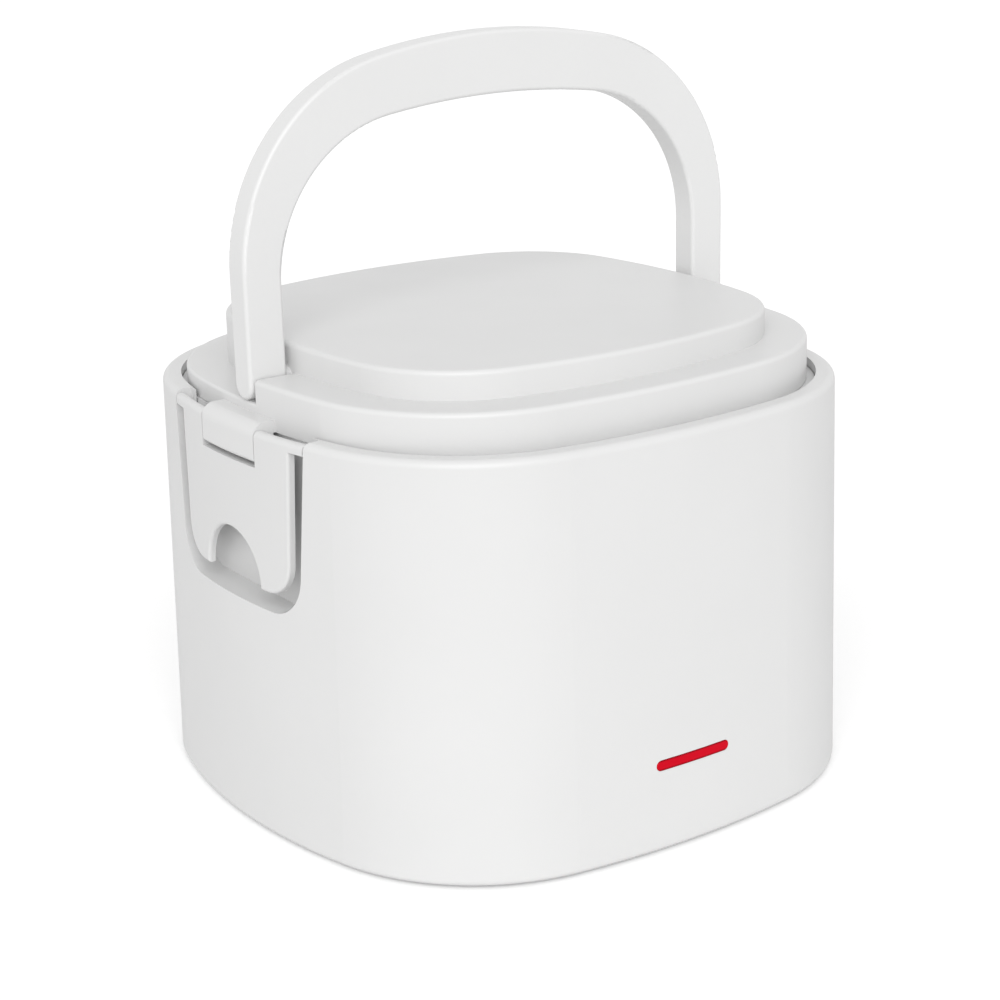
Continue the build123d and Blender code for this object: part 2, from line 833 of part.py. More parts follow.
# Power inlet at the rear: a flanged socket with two pins, held by two screws
with BuildPart() as power_inlet:
    with BuildSketch(Plane.XZ.offset(-inlet_face_y)):
        with Locations((0, inlet_height)):
            RectangleRounded(inlet_flange_width, inlet_flange_height, 3)
    extrude(amount=-body_depth / 4)
    add(flared_block(0, foot_stand, rim_z / 2), mode=Mode.INTERSECT)
    with BuildSketch(Plane.XZ.offset(-inlet_face_y)):
        with Locations((0, inlet_height)):
            RectangleRounded(inlet_body_width, inlet_body_height, 3)
    extrude(amount=inlet_body_depth)
    with BuildSketch(Plane.XZ.offset(-inlet_outer_y)):
        with Locations((0, inlet_height)):
            SlotOverall(inlet_socket_width, inlet_socket_height)
    extrude(amount=inlet_socket_depth, mode=Mode.SUBTRACT)
    with BuildSketch(Plane.XZ.offset(-inlet_outer_y)):
        with pair_places(inlet_screw_spacing, inlet_height):
            Circle(small_screw_head_radius + slide_gap)
    extrude(amount=inlet_outer_y - inlet_screw_seat_y, mode=Mode.SUBTRACT)
    with BuildSketch(Plane.XZ.offset(-inlet_outer_y)):
        with pair_places(inlet_screw_spacing, inlet_height):
            Circle(small_screw_radius + slide_gap)
        with pair_places(pin_spacing, inlet_height):
            Circle(pin_radius + thread_gap)
    extrude(amount=inlet_outer_y - inlet_body_end_y, mode=Mode.SUBTRACT)
export(power_inlet, "power_inlet")

with BuildPart() as inlet_pins:
    with BuildSketch(Plane.XZ.offset(-inlet_body_end_y)):
        with pair_places(pin_spacing, inlet_height):
            Circle(pin_radius)
    extrude(amount=-(inlet_body_depth - inlet_flange_thickness))
    with BuildSketch(Plane.XZ.offset(-inlet_body_end_y)):
        with pair_places(pin_spacing, inlet_height):
            Rectangle(tab_thickness, tab_width)
    extrude(amount=tab_length)
export(inlet_pins, "inlet_pins")

with BuildPart() as inlet_screws:
    with Locations(Plane.XZ.offset(-inlet_screw_seat_y)):
        with pair_places(inlet_screw_spacing, inlet_height):
            add(small_screw(inlet_screw_length))
export(inlet_screws, "inlet_screws")


# Indicator: a red lens in the front wall, with its board and lamps behind
with BuildPart() as lens_flange:
    with BuildSketch(Plane.XZ.offset(wall - lamp_wall_y)):
        with Locations((0, lamp_z)):
            SlotOverall(lamp_length + 2 * lamp_flange, lamp_height + 2 * lamp_flange)
    extrude(amount=-wall - lamp_flange_thickness)
    add(flared_block(wall + thread_gap, foot_stand, rim_z / 2), mode=Mode.INTERSECT)

with BuildPart() as indicator_lens:
    with BuildSketch(Plane.XZ.offset(-lamp_wall_y - lamp_flange_thickness)):
        with Locations((0, lamp_z)):
            SlotOverall(lamp_length - slide_gap, lamp_height - slide_gap)
    extrude(amount=wall * 3)
    add(flared_block(0, foot_stand, rim_z / 2), mode=Mode.INTERSECT)
    add(lens_flange.part)
export(indicator_lens, "indicator_lens")

with BuildPart() as indicator_board:
    with BuildSketch(Plane.XZ.offset(-board_front_y)):
        with Locations((0, lamp_z)):
            Rectangle(board_width, board_height)
        with pair_places(board_screw_spacing, lamp_z):
            Circle(small_screw_radius + slide_gap, mode=Mode.SUBTRACT)
    extrude(amount=-board_thickness)
export(indicator_board, "indicator_board")

with BuildPart() as indicator_lamps:
    with BuildSketch(Plane.XZ.offset(-board_front_y)):
        with pair_places(led_spacing, lamp_z):
            Rectangle(led_size, led_size)
    extrude(amount=led_height)
    fillet(indicator_lamps.edges().group_by(Axis.Y)[0], radius=led_size / 6)
export(indicator_lamps, "indicator_lamps")

board_back = Plane((0, board_front_y + board_thickness, 0), x_dir=(1, 0, 0), z_dir=(0, -1, 0))

with BuildPart() as board_screws:
    with Locations(board_back):
        with pair_places(board_screw_spacing, lamp_z):
            add(small_screw(board_screw_length))
export(board_screws, "board_screws")


# Wires from the inlet's tabs by way of the fuse and thermostat to the element, and on to the lamps
def wire(points):
    """A round wire along straight runs, each corner rounded as far as its two runs allow."""
    points = [Vector(*point) for point in points]
    radii = []
    for before, here, after in zip(points, points[1:], points[2:]):
        turn = (here - before).get_angle(after - here)
        shorter = min((here - before).length, (after - here).length)
        radii.append(0.45 * shorter / tan(radians(turn / 2)))
    with BuildPart() as lead:
        with BuildLine() as route:
            FilletPolyline(*points, radius=radii)
        with BuildSketch(Plane(route.line @ 0, z_dir=route.line % 0)):
            Circle(wire_radius)
        sweep()
    return lead.part


tab_end_y = inlet_body_end_y - tab_length
pin_x = pin_spacing / 2
fuse_end_x = fuse_length / 2
tongue_x = thermostat_radius + tab_length / 2
tongue_z = boss_z - thermostat_depth + tab_thickness / 2
blade_y = terminal_y + tab_thickness / 2
blade_z = terminal_z + wire_radius * 1.2

with BuildPart() as live_wires:
    add(
        wire(
            [
                (-pin_x, tab_end_y, inlet_height),
                (-pin_x, tab_end_y - wire_lead, inlet_height),
                (-pin_x - inlet_wire_side, tab_end_y - inlet_wire_back, inlet_height - wire_step),
                (-pin_x - fuse_wire_side, fuse_place + wire_lead, fuse_z - wire_step),
                (-fuse_end_x - fuse_lead, fuse_place, fuse_z),
                (-fuse_end_x, fuse_place, fuse_z),
            ]
        )
    )
    add(
        wire(
            [
                (fuse_end_x, fuse_place, fuse_z),
                (fuse_end_x + wire_lead, fuse_place, fuse_z),
                (fuse_end_x + fuse_wire_side, fuse_place - link_wire_back, fuse_z - link_wire_drop),
                (fuse_end_x + link_wire_side, fuse_place - link_wire_reach, tongue_z + wire_step),
                (tongue_x + wire_lead, 0, tongue_z),
                (tongue_x, 0, tongue_z),
            ]
        )
    )
export(live_wires, "live_wires")

with BuildPart() as return_wires:
    add(
        wire(
            [
                (-tongue_x, 0, tongue_z),
                (-tongue_x - wire_lead, 0, tongue_z),
                (-terminal_x, -blade_lead, blade_z),
                (-terminal_x, blade_y, blade_z),
            ]
        )
    )
    add(
        wire(
            [
                (pin_x, tab_end_y, inlet_height),
                (pin_x, tab_end_y - wire_lead, inlet_height),
                (pin_x + return_wire_side, tab_end_y - return_wire_back, blade_z + wire_step),
                (terminal_x - return_wire_sway, fuse_place, blade_z + wire_step),
                (terminal_x + return_wire_sway, fuse_place - return_wire_reach, blade_z),
                (terminal_x, -blade_lead, blade_z),
                (terminal_x, blade_y, blade_z),
            ]
        )
    )
export(return_wires, "return_wires")

with BuildPart() as lamp_wires:
    for side in (1, -1):
        turn_x = terminal_x - lamp_wire_lead
        add(
            wire(
                [
                    (side * terminal_x, blade_y - tab_thickness, blade_z),
                    (side * terminal_x, blade_y - lamp_wire_lead, blade_z),
                    (side * (terminal_x - lamp_wire_sway), blade_y - lamp_wire_reach, blade_z),
                    (side * turn_x, board_front_y + lamp_wire_turn, blade_z + lamp_wire_rise),
                    (side * led_spacing, board_front_y + board_wire_lead, lamp_z),
                    (side * led_spacing, board_front_y + board_thickness, lamp_z),
                ]
            )
        )
export(lamp_wires, "lamp_wires")


# Lid cover: a shell in two tiers, low behind the handle's legs and high in front of them
step_y = -handle_thickness / 2 - handle_step_gap
low_ledge_z = rim_z + low_ledge_rise
high_ledge_z = rim_z + high_ledge_rise
ceiling_z = lid_top_z - lid_wall
tier_half = lower_tier_width / 2
upper_half = upper_tier_width / 2
latch_pivot_x = body_width / 2 - latch_pivot_inset
latch_pivot_z = rim_z - latch_pivot_drop
liner_top_z = liner_z + liner_thickness
lid_boss_z = liner_top_z + liner_boss_rise + slide_gap
lid_screw_z = liner_z + screw_head_height + fit_gap


with BuildPart() as low_half:
    add(prism(lower_tier_outline(), lid_foot_z, low_ledge_z))
    fillet(low_half.edges().group_by(Axis.Z)[-1], radius=low_ledge_rounding)
    split(bisect_by=Plane.XZ.offset(-step_y), keep=Keep.BOTTOM)

with BuildPart() as lower_tier:
    add(prism(lower_tier_outline(), lid_foot_z, high_ledge_z))
    fillet(lower_tier.edges().group_by(Axis.Z)[-1], radius=tier_rounding)
    split(bisect_by=Plane.XZ.offset(-step_y), keep=Keep.TOP)
    add(low_half.part)

with BuildPart() as upper_tier:
    add(prism(upper_tier_outline(), lid_foot_z, lid_top_z))
    fillet(upper_tier.edges().group_by(Axis.Z)[-1], radius=tier_rounding)

with BuildPart() as lid_hollow:
    add(prism(lower_tier_outline(lid_wall), lid_foot_z, high_ledge_z - lid_wall))
    with Locations((0, step_y - lid_wall, low_ledge_z - lid_wall)):
        Box(
            body_width,
            body_depth,
            high_ledge_z - low_ledge_z,
            align=(Align.CENTER, Align.MIN, Align.MIN),
            mode=Mode.SUBTRACT,
        )
    add(prism(upper_tier_outline(lid_wall), lid_foot_z, ceiling_z))

# The lug reaches over the rim's gap and takes the latch pin
with BuildPart() as lug:
    with BuildSketch(Plane.XZ):
        with BuildLine():
            Polyline(
                (body_width / 2 - lug_inset, rim_z - lug_drop),
                (body_width / 2 - lug_inset, lid_foot_z),
                (tier_half - lid_wall / 2, lid_foot_z),
                (tier_half - lid_wall / 2, rim_z + lug_rise),
                (body_width / 2 + wall, rim_z + lug_rise),
                (body_width / 2 + wall, rim_z - lug_drop),
                close=True,
            )
        make_face()
    extrude(amount=lug_half, both=True)
    add(flared_block(0, rim_z - lug_drop, rim_z + lug_rise), mode=Mode.INTERSECT)
    outer_edges = lug.edges().filter_by(GeomType.CIRCLE).group_by(Axis.Z)
    fillet(outer_edges[-1], radius=lug_top_rounding)
    fillet(outer_edges[0], radius=lug_foot_rounding)
    with BuildSketch(Plane.XZ):
        with Locations((latch_pivot_x, latch_pivot_z)):
            Circle(latch_pin_radius + thread_gap)
    extrude(amount=lug_half, both=True, mode=Mode.SUBTRACT)

with BuildPart() as lid_cover:
    add(lower_tier.part)
    add(upper_tier.part)
    add(lid_hollow.part, mode=Mode.SUBTRACT)
    add(lug.part)
    add(mirror(lug.part, about=Plane.YZ, mode=Mode.PRIVATE))
    # Bosses for the handle pins inside the upper tier's wall, and the spacers outside it
    for side in (1, -1):
        with BuildSketch(Plane.YZ.offset(side * (upper_half - lid_wall / 2))):
            with Locations((0, pivot_z)):
                Circle(pin_boss_radius)
        extrude(amount=-side * (pin_boss_length + lid_wall / 2))
        with BuildSketch(Plane.YZ.offset(side * (upper_half - lid_wall / 2))):
            with Locations((0, pivot_z)):
                Circle(spacer_radius)
        extrude(amount=side * (handle_leg_x - upper_half + lid_wall / 2 - rest_gap))
        with BuildSketch(Plane.YZ.offset(side * handle_leg_x)):
            with Locations((0, pivot_z)):
                Circle(handle_pin_radius + thread_gap)
        extrude(amount=-side * (handle_leg_x - upper_half + lid_wall + pin_boss_length), mode=Mode.SUBTRACT)
    # Screw bosses that hang from the ceiling
    with BuildSketch(Plane.XY.offset(lid_boss_z)):
        with corner_places(lid_screw_inset):
            Circle(lid_boss_radius)
    extrude(amount=ceiling_z - lid_boss_z + lid_wall / 2)
    with BuildSketch(Plane.XY.offset(lid_boss_z)):
        with corner_places(lid_screw_inset):
            Circle(screw_radius + thread_gap)
    extrude(amount=lid_screw_z + lid_screw_length + thread_gap - lid_boss_z, mode=Mode.SUBTRACT)
export(lid_cover, "lid_cover")


# Lid liner, its seal and screws, and the foam between liner and cover
groove_inset = liner_inset + groove_wall
groove_inner = liner_inset + liner_ring_width - groove_wall
ring_z = liner_z - liner_ring_drop
groove_z = ring_z + groove_depth

with BuildPart() as lid_liner:
    add(prism(body_outline(liner_inset), liner_z, liner_top_z))
    ring_outline = body_outline(liner_inset) - body_outline(liner_inset + liner_ring_width)
    groove_outline = body_outline(groove_inset) - body_outline(groove_inner)
    add(prism(ring_outline, ring_z, liner_z))
    add(prism(groove_outline, ring_z, groove_z), mode=Mode.SUBTRACT)
    with BuildSketch(Plane.XY.offset(liner_top_z)):
        with corner_places(lid_screw_inset):
            Circle(lid_boss_radius)
    extrude(amount=liner_boss_rise)
    with BuildSketch(Plane.XY.offset(liner_z)):
        with corner_places(lid_screw_inset):
            Circle(screw_radius + slide_gap)
    extrude(amount=liner_thickness + liner_boss_rise, mode=Mode.SUBTRACT)
    with BuildSketch(Plane.XY.offset(liner_z)):
        with corner_places(lid_screw_inset):
            Circle(screw_head_radius + fit_gap)
    extrude(amount=lid_screw_z - liner_z, mode=Mode.SUBTRACT)
export(lid_liner, "lid_liner")

with BuildPart() as lid_seal:
    add(
        prism(
            body_outline(groove_inset + thread_gap) - body_outline(groove_inner - thread_gap),
            lid_foot_z,
            groove_z - thread_gap,
        )
    )
export(lid_seal, "lid_seal")

with BuildPart() as lid_screws:
    with Locations(Plane.XY.offset(lid_screw_z)):
        with corner_places(lid_screw_inset):
            add(large_screw(lid_screw_length))
export(lid_screws, "lid_screws")

with BuildPart() as lid_insulation:
    add(prism(upper_tier_outline(lid_wall + foam_gap), liner_top_z + rest_gap, ceiling_z - rest_gap))
    with BuildSketch(Plane.XY.offset(liner_top_z)):
        with corner_places(lid_screw_inset):
            Circle(lid_boss_radius + foam_gap)
    extrude(amount=ceiling_z - liner_top_z, mode=Mode.SUBTRACT)
    with Locations((upper_half, 0, pivot_z), (-upper_half, 0, pivot_z)):
        Box(
            2 * (lid_wall + pin_boss_length + handle_pin_head + foam_gap),
            2 * (pin_boss_radius + foam_gap),
            2 * (ceiling_z - pivot_z),
            mode=Mode.SUBTRACT,
        )
export(lid_insulation, "lid_insulation")


# Pins for the handle, pushed out through the bosses from inside, and pins for the latches, in the lugs
pin_seat_x = upper_half - lid_wall - pin_boss_length

with BuildPart() as handle_pins:
    for side in (1, -1):
        with BuildSketch(Plane.YZ.offset(side * pin_seat_x)):
            with Locations((0, pivot_z)):
                Circle(handle_pin_head_radius)
        extrude(amount=-side * handle_pin_head)
        with BuildSketch(Plane.YZ.offset(side * pin_seat_x)):
            with Locations((0, pivot_z)):
                Circle(handle_pin_radius)
        extrude(amount=side * (handle_leg_x + handle_pin_bite - pin_seat_x))
export(handle_pins, "handle_pins")

with BuildPart() as latch_pins:
    with BuildSketch(Plane.XZ):
        with pair_places(2 * latch_pivot_x, latch_pivot_z):
            Circle(latch_pin_radius)
    extrude(amount=latch_pin_half, both=True)
export(latch_pins, "latch_pins")


# Carry handle: an arch with straight legs, round feet and blind bores for its pins
def arch_outline(half_width, rise, corner_radius, top_radius):
    """The arch seen from the front, from below the pivot up to its crown."""
    crown_z = rim_z + rise
    top_centre = Vector(0, crown_z - top_radius)
    corner_x = half_width - corner_radius
    corner = Vector(corner_x, top_centre.Y + sqrt((top_radius - corner_radius) ** 2 - corner_x**2))
    join = top_centre + (corner - top_centre).normalized() * top_radius
    foot_z = pivot_z - handle_thickness
    with BuildSketch() as outline:
        with BuildLine():
            Polyline(
                (-half_width, corner.Y),
                (-half_width, foot_z),
                (half_width, foot_z),
                (half_width, corner.Y),
            )
            ThreePointArc((-join.X, join.Y), (0, crown_z), (join.X, join.Y))
            for side in (1, -1):
                start = Vector(side * half_width, corner.Y)
                end = Vector(side * join.X, join.Y)
                middle = Vector(side * corner.X, corner.Y)
                ThreePointArc(start, middle + (start + end - middle * 2).normalized() * corner_radius, end)
        make_face()
    return outline.sketch


with BuildPart() as foot_shape:
    with BuildSketch(Plane.YZ):
        with Locations((0, pivot_z)):
            Circle(handle_thickness / 2)
            Rectangle(handle_thickness, handle_rise * 2, align=(Align.CENTER, Align.MIN))
    extrude(amount=body_width / 2, both=True)

with BuildPart() as carry_handle:
    with BuildSketch(Plane.XZ):
        add(arch_outline(handle_half, handle_rise, handle_corner, handle_top_radius))
        add(
            arch_outline(handle_leg_x, hand_gap_rise, hand_gap_corner, hand_gap_top_radius),
            mode=Mode.SUBTRACT,
        )
    extrude(amount=handle_thickness / 2, both=True)
    add(foot_shape.part, mode=Mode.INTERSECT)
    fillet(carry_handle.edges().filter_by(Axis.X, reverse=True), radius=handle_rounding)
    for side in (1, -1):
        with BuildSketch(Plane.YZ.offset(side * handle_leg_x)):
            with Locations((0, pivot_z)):
                Circle(handle_pin_radius + running_gap)
        extrude(amount=side * (handle_pin_bite + handle_bore_spare), mode=Mode.SUBTRACT)
export(carry_handle, "carry_handle")


# Latches: a curved plate with a finger arch, two ears on the pivot pin, and a hook under the catch rib
latch_top_z = rim_z - latch_top_drop
latch_bottom_z = rim_z - latch_height
hook_z = rim_z - catch_drop - catch_height - hook_gap
hook_x = body_width / 2 + wall_flare_reach * (rim_z - hook_z) / housing_height - latch_thickness - hook_reach
ear_x = latch_pivot_x - latch_ear_radius
ear_outer_x = body_width / 2 + wall_flare_reach
ear_top_z = latch_pivot_z + latch_ear_radius

with BuildPart() as latch_right:
    with BuildSketch(Plane.YZ.offset(pocket_x)) as latch_face:
        with BuildLine():
            Polyline(
                (latch_top_half, latch_top_z),
                (latch_bottom_half, latch_bottom_z),
                (-latch_bottom_half, latch_bottom_z),
                (-latch_top_half, latch_top_z),
                close=True,
            )
        make_face()
        fillet(latch_face.vertices().group_by(Axis.Y)[0], radius=latch_corner)
        wing_height = latch_wing_drop - latch_top_drop
        with Locations((0, latch_top_z)):
            Rectangle(2 * latch_wing_half, wing_height, align=(Align.CENTER, Align.MAX))
        with Locations((0, latch_bottom_z)):
            Circle(arch_radius, mode=Mode.SUBTRACT)
        with Locations((0, rim_z)):
            Rectangle(2 * (lug_half + latch_gap), 2 * (lug_drop + latch_slot), mode=Mode.SUBTRACT)
    extrude(amount=body_width / 8)
    add(bulge_block(latch_thickness, latch_bottom_z, rim_z), mode=Mode.SUBTRACT)
    with BuildSketch(Plane.XZ):
        with BuildLine():
            Polyline(
                (ear_x, latch_pivot_z),
                (ear_x, rim_z - latch_ear_straight),
                (body_width / 2 - latch_thickness, rim_z - latch_ear_drop),
                (ear_outer_x, rim_z - latch_ear_drop),
                (ear_outer_x, ear_top_z),
                (latch_pivot_x, ear_top_z),
            )
            RadiusArc((latch_pivot_x, ear_top_z), (ear_x, latch_pivot_z), -latch_ear_radius)
        make_face()
    extrude(amount=latch_ear_half, both=True)
    with BuildSketch(Plane.XZ):
        with Locations((body_width / 2, rim_z)):
            Rectangle(2 * (body_width / 2 - ear_x + latch_gap), 2 * (lug_drop + latch_slot))
    extrude(amount=lug_half + latch_gap, both=True, mode=Mode.SUBTRACT)
    with BuildSketch(Plane.XZ):
        with BuildLine():
            Polyline(
                (hook_x, hook_z),
                (hook_x, hook_z - hook_height / 2),
                (hook_x + hook_reach, hook_z - hook_height),
                (body_width / 2, hook_z - hook_height),
                (body_width / 2, hook_z),
                close=True,
            )
        make_face()
    extrude(amount=hook_half, both=True)
    add(bulge_block(0, latch_bottom_z, rim_z), mode=Mode.INTERSECT)
    outer_edges = latch_right.faces().sort_by(Axis.X)[-1].edges()
    fillet(outer_edges.group_by(Axis.Z)[-1], radius=latch_top_rounding)
    outer_edges = latch_right.faces().sort_by(Axis.X)[-1].edges()
    low_edge_top_z = rim_z - latch_ear_drop - latch_thickness
    low_edges = outer_edges.filter_by_position(Axis.Z, latch_bottom_z, low_edge_top_z)
    fillet(low_edges, radius=latch_edge_rounding)
    # Blind bores in the ears, open to the lug's side
    with BuildSketch(Plane.XZ):
        with Locations((latch_pivot_x, latch_pivot_z)):
            Circle(latch_pin_radius + running_gap)
    extrude(amount=latch_pin_half + fit_gap, both=True, mode=Mode.SUBTRACT)
export(latch_right, "latch_right")

with BuildPart() as latch_left:
    add(mirror(latch_right.part, about=Plane.YZ, mode=Mode.PRIVATE))
export(latch_left, "latch_left")
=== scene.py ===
# %% [markdown]
# # A portable food warmer in white moulded plastic
# The warmer is a bulged square body with a two-step lid, an arched carry handle and a latch on
# each side. The solids come ready made and at their real size, so this lesson is about the looks:
# the camera, the light, and what each surface is made of.

import math

import bmesh
import bpy
from mathutils import Matrix, Vector

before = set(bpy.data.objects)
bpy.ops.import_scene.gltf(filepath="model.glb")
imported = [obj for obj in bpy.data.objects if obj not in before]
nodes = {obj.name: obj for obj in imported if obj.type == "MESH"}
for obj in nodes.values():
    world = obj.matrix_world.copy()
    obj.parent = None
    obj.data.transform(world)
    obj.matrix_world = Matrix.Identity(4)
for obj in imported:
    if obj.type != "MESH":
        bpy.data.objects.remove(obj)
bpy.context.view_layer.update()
scene = bpy.context.scene

# %% [markdown]
# ## Two angles make a direction
# A photographer says where a camera or a lamp stands by two angles: so far round from the front of
# the object, and so far up. Both the camera and the sun are placed that way here, so one function
# turns the two angles into a direction.

# %% Turn two angles into a direction
def outward(azimuth, elevation):
    """The direction from the warmer to something so far round from its front and so far up."""
    return Vector(
        (
            math.sin(azimuth) * math.cos(elevation),
            -math.cos(azimuth) * math.cos(elevation),
            math.sin(elevation),
        )
    )


print("the front of the warmer looks along", tuple(outward(0, 0)))

# %% [markdown]
# ## The camera
# The photograph was taken from the front left and a little above, with a fairly long lens. The
# place and the turn were found by matching the rim, the lid and the lamp, and the small roll keeps
# the base as level as it is there. A camera looks along its own -Z, so its Z axis points back at
# the photographer.

# %% Place the camera
CAMERA_PLACE = Vector((-0.3470, -0.5000, 0.2668))
CAMERA_AZIMUTH = math.radians(-34.82)
CAMERA_ELEVATION = math.radians(17.63)
CAMERA_ROLL = math.radians(-1.42)
CAMERA_LENS = 81.13
CAMERA_SENSOR = 36.0
CAMERA_NEAREST = 0.01

back = outward(CAMERA_AZIMUTH, CAMERA_ELEVATION)
level_right = (-back).cross(Vector((0, 0, 1))).normalized()
level_up = level_right.cross(-back)
right = level_right * math.cos(CAMERA_ROLL) + level_up * math.sin(CAMERA_ROLL)
up = level_up * math.cos(CAMERA_ROLL) - level_right * math.sin(CAMERA_ROLL)
camera_turn = Matrix((right, up, back)).transposed().to_4x4()

camera_data = bpy.data.cameras.new("camera")
camera_data.lens = CAMERA_LENS
camera_data.sensor_width = CAMERA_SENSOR
camera_data.clip_start = CAMERA_NEAREST
camera = bpy.data.objects.new("camera", camera_data)
camera.matrix_world = Matrix.Translation(CAMERA_PLACE) @ camera_turn
scene.collection.objects.link(camera)
scene.camera = camera
print("camera at", [round(value, 3) for value in CAMERA_PLACE], "lens", CAMERA_LENS)

# %% [markdown]
# ## The white surroundings
# White plastic on white shows its shape only by small steps of grey, so the light matters more than
# any colour. An even white surrounding fills every side. The camera, mirror-like reflections and
# what shines through see it as pure white, while it lights dull surfaces a little less, so that the
# white plastic doesn't melt into the background.

# %% Wrap the stage in white
SKY_STRENGTH = 0.705
SKY_SEEN_STRENGTH = 1.0
WHITE = (1, 1, 1, 1)

scene.view_settings.view_transform = "Standard"

world = bpy.data.worlds.new("studio")
scene.world = world
world.use_nodes = True
sky = world.node_tree.nodes
sky.clear()
sky_output = sky.new("ShaderNodeOutputWorld")
sky_fill = sky.new("ShaderNodeBackground")
sky_fill.inputs["Color"].default_value = WHITE
sky_fill.inputs["Strength"].default_value = SKY_STRENGTH
sky_seen = sky.new("ShaderNodeBackground")
sky_seen.inputs["Color"].default_value = WHITE
sky_seen.inputs["Strength"].default_value = SKY_SEEN_STRENGTH
sky_rays = sky.new("ShaderNodeLightPath")
sky_camera_or_glossy = sky.new("ShaderNodeMath")
sky_camera_or_glossy.operation = "MAXIMUM"
sky_any = sky.new("ShaderNodeMath")
sky_any.operation = "MAXIMUM"
sky_mix = sky.new("ShaderNodeMixShader")
join_sky = world.node_tree.links.new
join_sky(sky_rays.outputs["Is Camera Ray"], sky_camera_or_glossy.inputs[0])
join_sky(sky_rays.outputs["Is Glossy Ray"], sky_camera_or_glossy.inputs[1])
join_sky(sky_camera_or_glossy.outputs[0], sky_any.inputs[0])
join_sky(sky_rays.outputs["Is Transmission Ray"], sky_any.inputs[1])
join_sky(sky_any.outputs[0], sky_mix.inputs["Fac"])
join_sky(sky_fill.outputs[0], sky_mix.inputs[1])
join_sky(sky_seen.outputs[0], sky_mix.inputs[2])
join_sky(sky_mix.outputs[0], sky_output.inputs["Surface"])
print("the surroundings light the stage with", SKY_STRENGTH)

# %% [markdown]
# ## One broad soft sun
# The lamp stands at the front left and is very wide, so it leaves no hard edge of shadow. It makes
# the front left corner the brightest place and leaves the lid a little darker, as in the
# photograph.

# %% Hang the sun
SUN_STRENGTH = 1.62
SUN_AZIMUTH = math.radians(-35.0)
SUN_ELEVATION = math.radians(31.0)
SUN_SPREAD = math.radians(50.0)

sun_data = bpy.data.lights.new("soft_sun", "SUN")
sun_data.energy = SUN_STRENGTH
sun_data.angle = SUN_SPREAD
sun = bpy.data.objects.new("soft_sun", sun_data)
sun.rotation_euler = outward(SUN_AZIMUTH, SUN_ELEVATION).to_track_quat("Z", "Y").to_euler()
scene.collection.objects.link(sun)
print("sun of", SUN_STRENGTH, "spread over", round(math.degrees(SUN_SPREAD)), "degrees")

# %% [markdown]
# ## The floor
# The warmer stands on a plain white table. A disc that reaches far past the picture is enough for
# it. The paint adds a little glow that only the camera sees, so the disc melts into the background
# but still keeps the soft shadow of the base.

# %% Lay the floor
FLOOR_RADIUS = 6.0
FLOOR_SIDES = 96
FLOOR_GREY = 0.90
FLOOR_LIFT = 0.20

floor_mesh = bmesh.new()
bmesh.ops.create_circle(floor_mesh, cap_ends=True, segments=FLOOR_SIDES, radius=FLOOR_RADIUS)
floor_data = bpy.data.meshes.new("floor")
floor_mesh.to_mesh(floor_data)
floor_mesh.free()
floor = bpy.data.objects.new("floor", floor_data)
scene.collection.objects.link(floor)

floor_paint = bpy.data.materials.new("floor_white")
floor_paint.use_nodes = True
paint = floor_paint.node_tree.nodes
paint.clear()
paint_output = paint.new("ShaderNodeOutputMaterial")
paint_diffuse = paint.new("ShaderNodeBsdfDiffuse")
paint_diffuse.inputs["Color"].default_value = (FLOOR_GREY, FLOOR_GREY, FLOOR_GREY, 1)
paint_glow = paint.new("ShaderNodeEmission")
paint_rays = paint.new("ShaderNodeLightPath")
paint_lift = paint.new("ShaderNodeMath")
paint_lift.operation = "MULTIPLY"
paint_lift.inputs[1].default_value = FLOOR_LIFT
paint_sum = paint.new("ShaderNodeAddShader")
join_paint = floor_paint.node_tree.links.new
join_paint(paint_rays.outputs["Is Camera Ray"], paint_lift.inputs[0])
join_paint(paint_lift.outputs[0], paint_glow.inputs["Strength"])
join_paint(paint_diffuse.outputs[0], paint_sum.inputs[0])
join_paint(paint_glow.outputs[0], paint_sum.inputs[1])
join_paint(paint_sum.outputs[0], paint_output.inputs["Surface"])
floor_data.materials.append(floor_paint)
print("floor of", FLOOR_RADIUS, "m radius")

# %% [markdown]
# ## Steps that every finish shares
# No real surface is perfectly even, so each finish starts from noise. The noise reads Object
# coordinates, which stick to the piece when it moves. It does three things: it shades the colour
# between two tones, it spreads the roughness round its middle value, and it raises a fine bump.
# One small function does each step, so that plastic and metal are built the same way.

# %% Make the shared steps
def noise(tree, coordinates, scale, detail):
    """Soft noise of so many waves per metre; more detail adds finer waves on top."""
    texture = tree.nodes.new("ShaderNodeTexNoise")
    texture.inputs["Scale"].default_value = scale
    texture.inputs["Detail"].default_value = detail
    tree.links.new(coordinates, texture.inputs["Vector"])
    return texture.outputs["Fac"]


def shade(tree, pattern, dark, light, start=0.0, end=1.0):
    """Colour that runs from dark to light while the pattern goes from start to end."""
    ramp = tree.nodes.new("ShaderNodeValToRGB")
    low, high = ramp.color_ramp.elements
    low.position = start
    low.color = (*dark, 1)
    high.position = end
    high.color = (*light, 1)
    tree.links.new(pattern, ramp.inputs["Fac"])
    tree.links.new(ramp.outputs["Color"], tree.nodes["Principled BSDF"].inputs["Base Color"])


def spread_gloss(tree, pattern, smoothest, roughest):
    """Roughness that wanders between two values with the pattern."""
    gloss = tree.nodes.new("ShaderNodeMapRange")
    gloss.inputs["To Min"].default_value = smoothest
    gloss.inputs["To Max"].default_value = roughest
    tree.links.new(pattern, gloss.inputs["Value"])
    tree.links.new(gloss.outputs["Result"], tree.nodes["Principled BSDF"].inputs["Roughness"])


